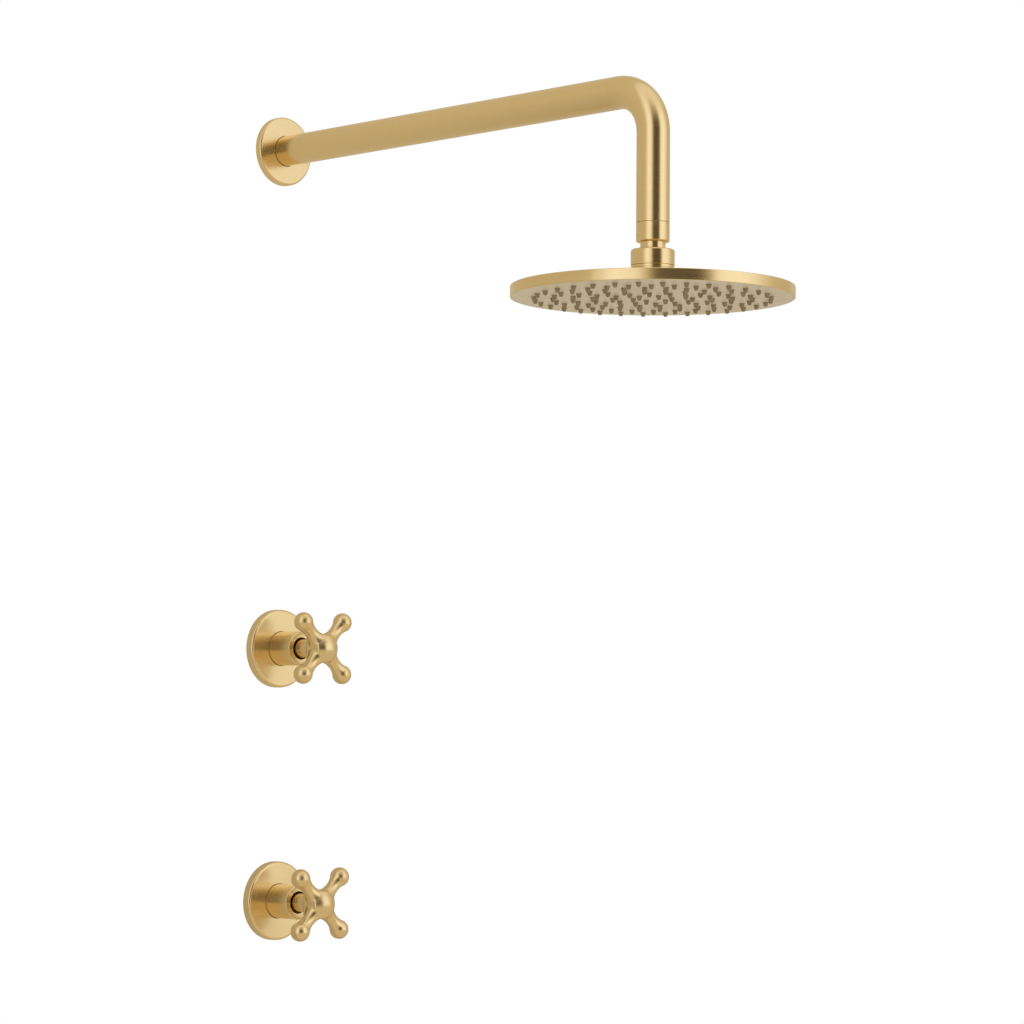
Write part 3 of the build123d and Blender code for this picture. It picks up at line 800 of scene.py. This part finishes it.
bm = bmesh.new()
lathe(
    bm,
    [(0.0, MAT_TOP), (MAT_R, MAT_TOP), (MAT_R, MAT_TOP - 1.2), (0.0, MAT_TOP - 1.2)],
    "Z",
    (0, DROP_Y, 0),
)
for index, (radius, count) in enumerate(NOZZLE_RINGS):
    for step in range(count):
        angle = math.radians(360 * step / count + RING_TWIST * index)
        spot = (radius * math.cos(angle), DROP_Y + radius * math.sin(angle), 0)
        tip = PLATE_FACE - 3.0
        profile = [
            (0.5, tip + 1.0),
            (0.5, tip + 0.05),
            (1.0, tip),
            (1.45, tip + 0.5),
            (2.1, PLATE_FACE + 0.1),
            (2.1, MAT_TOP - 1.1),
        ]
        verts = [bm.verts.new(Vector((spot[0] + r, spot[1], z)) * MM) for r, z in profile]
        edges = [bm.edges.new(pair) for pair in zip(verts, verts[1:])]
        bmesh.ops.spin(
            bm,
            geom=verts + edges,
            cent=Vector(spot) * MM,
            axis=(0, 0, 1),
            dvec=(0, 0, 0),
            angle=2 * math.pi,
            steps=10,
            use_merge=True,
        )
bmesh.ops.holes_fill(bm, edges=[e for e in bm.edges if e.is_boundary], sides=10)
finish_piece("nozzle_mat_moulded", bm, SILICONE, "rain_head", ["nozzle_mat"], sharp=60)

# %% [markdown]
# ## Cross handles
#
# The handle is one casting: a ball with four flats and a flat back, four arms that narrow to a waist and
# swell to a bulb, and a shank behind. A foundry pattern for it is put together from turned pieces, and
# the joins are filled with wax before it is moulded, so it is built the same way here. The ball is
# trimmed by planes, the arms and the shank come off the lathe, and a voxel remesh with a little smoothing
# does the work of the wax.

# %% Handle
HUB_FLAT, HUB_BACK, HUB_BALL_R, BALL_DEPTH = 10.6, 48.0, 14.5, 52.0
ARM_MID, BULB_AT, BULB_R = 56.0, 29.0, 7.6
NECK = ((9.0, 7.2), (17.5, 4.9), (24.5, 6.12))  # distance from the axis and radius: root, waist, bulb's start
INSIDE_HUB = 2.0  # where an arm begins, hidden in the ball
BULB_START = -36.3  # angle on the bulb, in degrees, at which the neck meets it
WAX_MM = 0.55  # edge of the remesh's voxels


def neck_radius(distance):
    """A parabola through the root, the waist and the start of the bulb."""
    (a, ra), (b, rb), (c, rc) = NECK
    root = ra * (distance - b) * (distance - c) / ((a - b) * (a - c))
    waist = rb * (distance - a) * (distance - c) / ((b - a) * (b - c))
    return root + waist + rc * (distance - a) * (distance - b) / ((c - a) * (c - b))


def arm_outline():
    """(radius, distance) points of one arm, from inside the hub to the tip of the bulb."""
    root, bulb = NECK[0][0], NECK[2][0]
    outline = [(0.0, INSIDE_HUB), (neck_radius(root), INSIDE_HUB)]
    for step in range(8):
        distance = root + (bulb - root) * step / 8
        outline.append((neck_radius(distance), distance))
    for step in range(9):
        angle = math.radians(BULB_START + (90 - BULB_START) * step / 9)
        outline.append((BULB_R * math.cos(angle), BULB_AT + BULB_R * math.sin(angle)))
    return outline + [(0.0, BULB_AT + BULB_R)]


def cross_handle(name, z):
    bm = bmesh.new()
    ball = bmesh.ops.create_uvsphere(bm, u_segments=64, v_segments=32, radius=HUB_BALL_R * MM)["verts"]
    bmesh.ops.translate(bm, vec=(0, out(BALL_DEPTH) * MM, 0), verts=ball)
    cuts = [((side * HUB_FLAT, 0, 0), (side, 0, 0)) for side in (-1, 1)]
    cuts += [((0, 0, side * HUB_FLAT), (0, 0, side)) for side in (-1, 1)]
    cuts.append(((0, out(HUB_BACK), 0), (0, 1, 0)))
    for place, normal in cuts:
        whole = bm.verts[:] + bm.edges[:] + bm.faces[:]
        bmesh.ops.bisect_plane(bm, geom=whole, plane_co=Vector(place) * MM, plane_no=normal, clear_outer=True)
        bmesh.ops.holes_fill(bm, edges=[edge for edge in bm.edges if edge.is_boundary], sides=0)

    for quarter in range(4):
        before = set(bm.verts)
        lathe(bm, arm_outline(), "Z", (0, 0, 0), 32)
        arm = [vert for vert in bm.verts if vert not in before]
        bmesh.ops.remove_doubles(bm, verts=arm, dist=0.002 * MM)
        arm = [vert for vert in bm.verts if vert not in before]
        lean = Matrix.Rotation(math.radians(45 + 90 * quarter), 3, "Y")
        bmesh.ops.rotate(bm, cent=(0, 0, 0), matrix=lean, verts=arm)
        bmesh.ops.translate(bm, vec=(0, out(ARM_MID) * MM, 0), verts=arm)
    lathe(bm, [(0, out(28)), (7.3, out(28), 0.4), (7.3, out(50)), (0, out(50))], "Y", (0, 0, 0), 48)
    bmesh.ops.translate(bm, vec=(0, 0, z * MM), verts=bm.verts)
    body = name.replace("handle", "control")
    piece = finish_piece(
        f"{name}_cast", bm, HANDLE_BRASS, body, [name], flat_flats=False
    )
    wax = piece.modifiers.new("wax", "REMESH")
    wax.mode = "VOXEL"
    wax.voxel_size = WAX_MM * MM
    wax.use_smooth_shade = True
    fillet = piece.modifiers.new("fillet", "SMOOTH")
    fillet.factor, fillet.iterations = 0.5, 8
    return piece


cross_handle("volume_handle", VOLUME_Z)
cross_handle("mixer_handle", MIXER_Z)

# %% [markdown]
# ## The parts that keep their CAD shape
#
# Everything in the wall keeps the shape that the CAD model gave it. It only needs its material. The table
# says which parts share which one.

# %% Materials for the carried-over parts
CARRIED = {
    "cast_brass": ["drop_ear_elbow", "volume_valve_body", "mixer_valve_body"],
    "turned_brass": [
        "arm_inlet_nipple",
        "arm_outlet_nipple",
        "compression_nuts",
        "compression_olives",
        "volume_cartridge_housing",
        "mixer_cartridge_housing",
        "volume_spindle",
        "mixer_spindle",
        "mixer_wax_element",
    ],
    "copper": ["riser_pipe", "link_pipe"],
    "nitrile_rubber": [
        "volume_disc_seal",
        "flange_orings",
        "connector_washer",
        "volume_spindle_orings",
        "mixer_spindle_orings",
        "ball_seal",
    ],
    "foam_rubber": ["arm_flange_gasket", "volume_flange_gasket", "mixer_flange_gasket"],
    "alumina_ceramic": ["volume_fixed_disc", "volume_moving_disc"],
    "acetal": ["flow_limiter", "ball_slip_ring", "mixer_shuttle"],
    "stainless_steel": ["mixer_strainers", "volume_handle_screw", "mixer_handle_screw"],
}
for slot, names in CARRIED.items():
    for name in names:
        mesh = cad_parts[name].data
        mesh.materials.clear()
        mesh.materials.append(IN_WALL[slot])
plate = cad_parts["face_plate"].data
plate.materials.clear()
plate.materials.append(SPRAY_PLATE)
print(sum(len(names) for names in CARRIED.values()) + 1, "parts carried over")

# %% [markdown]
# ## The return spring
#
# The mixer's spring pushes the shuttle back against the wax element. One end rests on the valve's floor
# and the other on the shuttle, so it gets shorter and longer as the temperature is set. Here a copy of its
# coil is given stainless steel and stays where the CAD model put it, with its place baked into the mesh.

# %% Spring between body and shuttle
bm = bmesh.new()
bm.from_mesh(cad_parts["mixer_return_spring"].data)
spring = finish_piece(
    "return_spring_wound", bm, IN_WALL["stainless_steel"], None, ["mixer_return_spring"]
)
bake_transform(spring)
